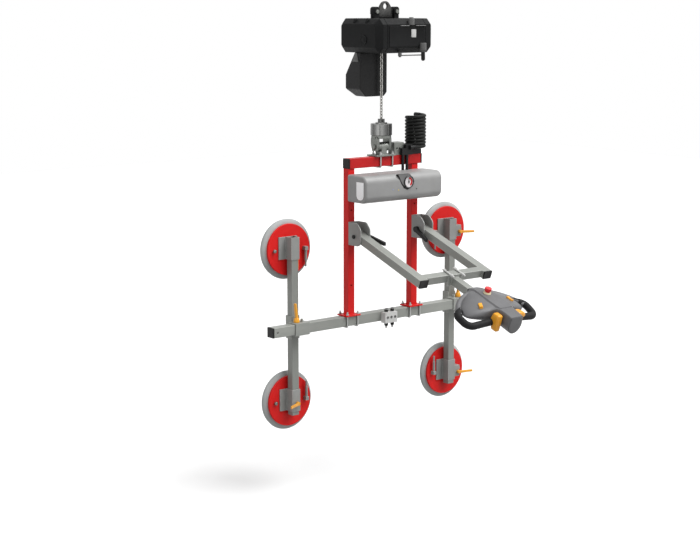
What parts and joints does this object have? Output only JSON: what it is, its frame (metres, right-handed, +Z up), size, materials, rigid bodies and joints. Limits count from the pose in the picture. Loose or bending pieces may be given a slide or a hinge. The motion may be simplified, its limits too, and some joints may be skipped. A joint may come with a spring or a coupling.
{
  "type": "vacuum glass panel lifter",
  "caption": "Vacuum lifter for glass panes: chain hoist, red frame with vacuum unit, cross beam with sliding suction pads, tilting arms and a two-hand control unit.",
  "frame": {"origin": "centre of the hole in the suspension eye on top of the hoist", "axes": "+Z up along the chain, +Y towards the lifted pane, the operator stands on the -Y side, +X along the cross beam to the operator's right"},
  "size_m": [1.39, 1.1339, 2.1135],
  "materials": {
    "hoist_black": "black powder coat, fine grain",
    "motor_iron": "cast",
    "black_plastic": "satin",
    "steel_bright": "satin steel",
    "chain_steel": "oiled steel",
    "zinc_steel": "zinc plated",
    "tube_steel": "galvanised",
    "red_paint": "semi gloss",
    "unit_grey": "satin",
    "gauge_metal": "polished",
    "needle_red": "matt",
    "cable_black": "matt",
    "seal_rubber": "matt",
    "orange_plastic": "satin",
    "control_grey": "satin",
    "grip_rubber": "matt",
    "button_red": "gloss"
  },
  "bodies": {
    "hoist": {"hoist_housing": "hoist_black", "hoist_end_covers": "hoist_black", "hoist_motor": "motor_iron", "suspension_eye": "motor_iron", "suspension_bolts": "zinc_steel", "chain_container": "black_plastic"},
    "wheel": {"load_wheel": "steel_bright"},
    "hook": {"load_chain": "chain_steel", "swivel_housing": "steel_bright"},
    "yoke": {"yoke": "zinc_steel", "yoke_bolt": "zinc_steel"},
    "frame": {"hanger_bracket": "zinc_steel", "clamp_u_bolts": "steel_bright", "coil_holder": "black_plastic", "spiral_cable": "cable_black", "cable_plug": "black_plastic", "top_bar": "red_paint", "left_upright": "red_paint", "right_upright": "red_paint", "tube_end_caps": "black_plastic", "cross_beam": "tube_steel", "manifold_block": "steel_bright", "unit_cover": "unit_grey", "unit_back_plate": "zinc_steel", "vacuum_pump": "motor_iron", "gauge_case": "gauge_metal", "pivot_brackets": "zinc_steel"},
    "needle": {"gauge_needle": "needle_red"},
    "arms": {"arm_frame": "tube_steel", "control_shell": "control_grey", "control_grips": "grip_rubber"},
    "left_slider": {"left_sleeve": "tube_steel", "left_column": "tube_steel"},
    "left_slider_lever": {"left_slider_lever": "orange_plastic"},
    "upper_left_pad": {"upper_left_pad_holder": "zinc_steel", "upper_left_pad_plate": "red_paint", "upper_left_pad_seal": "seal_rubber"},
    "upper_left_pad_lever": {"upper_left_pad_lever": "orange_plastic"},
    "lower_left_pad": {"lower_left_pad_holder": "zinc_steel", "lower_left_pad_plate": "red_paint", "lower_left_pad_seal": "seal_rubber"},
    "lower_left_pad_lever": {"lower_left_pad_lever": "orange_plastic"},
    "left_arm_lever": {"left_arm_lever": "black_plastic"},
    "left_trigger": {"left_trigger": "orange_plastic"},
    "left_rocker": {"left_rocker": "orange_plastic"},
    "right_slider": {"right_sleeve": "tube_steel", "right_column": "tube_steel"},
    "right_slider_lever": {"right_slider_lever": "orange_plastic"},
    "upper_right_pad": {"upper_right_pad_holder": "zinc_steel", "upper_right_pad_plate": "red_paint", "upper_right_pad_seal": "seal_rubber"},
    "upper_right_pad_lever": {"upper_right_pad_lever": "orange_plastic"},
    "lower_right_pad": {"lower_right_pad_holder": "zinc_steel", "lower_right_pad_plate": "red_paint", "lower_right_pad_seal": "seal_rubber"},
    "lower_right_pad_lever": {"lower_right_pad_lever": "orange_plastic"},
    "right_arm_lever": {"right_arm_lever": "black_plastic"},
    "right_trigger": {"right_trigger": "orange_plastic"},
    "right_rocker": {"right_rocker": "orange_plastic"},
    "estop": {"estop_button": "button_red"}
  },
  "joints": [
    {"name": "lift_slide", "type": "slide", "parent": "hoist", "child": "hook", "axis": [0, 0, 1], "range_m": [-0.04, 0.07]},
    {"name": "wheel_spin", "type": "hinge", "parent": "hoist", "child": "wheel", "pos_m": [-0.02, 0.03, -0.167], "axis": [1, 0, 0], "range_deg": [-140, 80]},
    {"name": "hook_swivel", "type": "hinge", "parent": "hook", "child": "yoke", "pos_m": [-0.02, 0, -0.642], "axis": [0, 0, 1], "continuous": true},
    {"name": "frame_tilt", "type": "hinge", "parent": "yoke", "child": "frame", "pos_m": [-0.02, 0, -0.695], "axis": [1, 0, 0], "range_deg": [-12, 12]},
    {"name": "needle_turn", "type": "hinge", "parent": "frame", "child": "needle", "pos_m": [0.021, -0.167, -0.86], "axis": [0, 1, 0], "range_deg": [-130, 130], "stiffness_Nm_per_rad": 0.002},
    {"name": "arm_tilt", "type": "hinge", "parent": "frame", "child": "arms", "pos_m": [0, -0.067, -1.123], "axis": [1, 0, 0], "range_deg": [-25, 55]},
    {"name": "left_column_slide", "type": "slide", "parent": "frame", "child": "left_slider", "axis": [1, 0, 0], "range_m": [-0.12, 0.18]},
    {"name": "left_slider_lever_turn", "type": "hinge", "parent": "left_slider", "child": "left_slider_lever", "pos_m": [-0.553, 0, -1.497], "axis": [0, 0, 1], "range_deg": [-60, 60]},
    {"name": "upper_left_pad_slide", "type": "slide", "parent": "left_slider", "child": "upper_left_pad", "axis": [0, 0, 1], "range_m": [-0.15, 0]},
    {"name": "upper_left_pad_lever_turn", "type": "hinge", "parent": "upper_left_pad", "child": "upper_left_pad_lever", "pos_m": [-0.515, 0.063, -1.1805], "axis": [1, 0, 0], "range_deg": [-90, 0]},
    {"name": "lower_left_pad_slide", "type": "slide", "parent": "left_slider", "child": "lower_left_pad", "axis": [0, 0, 1], "range_m": [0, 0.15]},
    {"name": "lower_left_pad_lever_turn", "type": "hinge", "parent": "lower_left_pad", "child": "lower_left_pad_lever", "pos_m": [-0.5345, 0.02, -1.9435], "axis": [0, 1, 0], "range_deg": [-60, 60]},
    {"name": "left_arm_lever_turn", "type": "hinge", "parent": "frame", "child": "left_arm_lever", "pos_m": [-0.215, -0.067, -1.123], "axis": [1, 0, 0], "range_deg": [-30, 30]},
    {"name": "left_trigger_press", "type": "hinge", "parent": "arms", "child": "left_trigger", "pos_m": [-0.069, -0.92487, -1.41467], "axis": [1, 0, 0], "range_deg": [0, 4], "stiffness_Nm_per_rad": 0.8, "springref_deg": -8.59},
    {"name": "left_rocker_tilt", "type": "hinge", "parent": "arms", "child": "left_rocker", "pos_m": [-0.108, -0.82735, -1.37252], "axis": [1, 0, 0], "range_deg": [-5, 5], "stiffness_Nm_per_rad": 0.5},
    {"name": "right_column_slide", "type": "slide", "parent": "frame", "child": "right_slider", "axis": [1, 0, 0], "range_m": [-0.18, 0.12]},
    {"name": "right_slider_lever_turn", "type": "hinge", "parent": "right_slider", "child": "right_slider_lever", "pos_m": [0.513, 0, -1.497], "axis": [0, 0, 1], "range_deg": [-60, 60]},
    {"name": "upper_right_pad_slide", "type": "slide", "parent": "right_slider", "child": "upper_right_pad", "axis": [0, 0, 1], "range_m": [-0.15, 0]},
    {"name": "upper_right_pad_lever_turn", "type": "hinge", "parent": "upper_right_pad", "child": "upper_right_pad_lever", "pos_m": [0.544, 0.02, -1.1805], "axis": [0, 1, 0], "range_deg": [-60, 60]},
    {"name": "lower_right_pad_slide", "type": "slide", "parent": "right_slider", "child": "lower_right_pad", "axis": [0, 0, 1], "range_m": [0, 0.15]},
    {"name": "lower_right_pad_lever_turn", "type": "hinge", "parent": "lower_right_pad", "child": "lower_right_pad_lever", "pos_m": [0.544, 0.02, -1.9435], "axis": [0, 1, 0], "range_deg": [-60, 60]},
    {"name": "right_arm_lever_turn", "type": "hinge", "parent": "frame", "child": "right_arm_lever", "pos_m": [0.199, -0.067, -1.123], "axis": [1, 0, 0], "range_deg": [-30, 30]},
    {"name": "right_trigger_press", "type": "hinge", "parent": "arms", "child": "right_trigger", "pos_m": [0.053, -0.92487, -1.41467], "axis": [1, 0, 0], "range_deg": [0, 4], "stiffness_Nm_per_rad": 0.8, "springref_deg": -8.59},
    {"name": "right_rocker_tilt", "type": "hinge", "parent": "arms", "child": "right_rocker", "pos_m": [0.092, -0.82735, -1.37252], "axis": [1, 0, 0], "range_deg": [-5, 5], "stiffness_Nm_per_rad": 0.5},
    {"name": "estop_press", "type": "slide", "parent": "arms", "child": "estop", "axis": [0, -0.3355, 0.9421], "range_m": [-0.004, 0], "stiffness_N_per_m": 1500}
  ],
  "couplings": [
    {"joint": "wheel_spin", "follows": "lift_slide", "rad_per_m": -33.333}
  ]
}
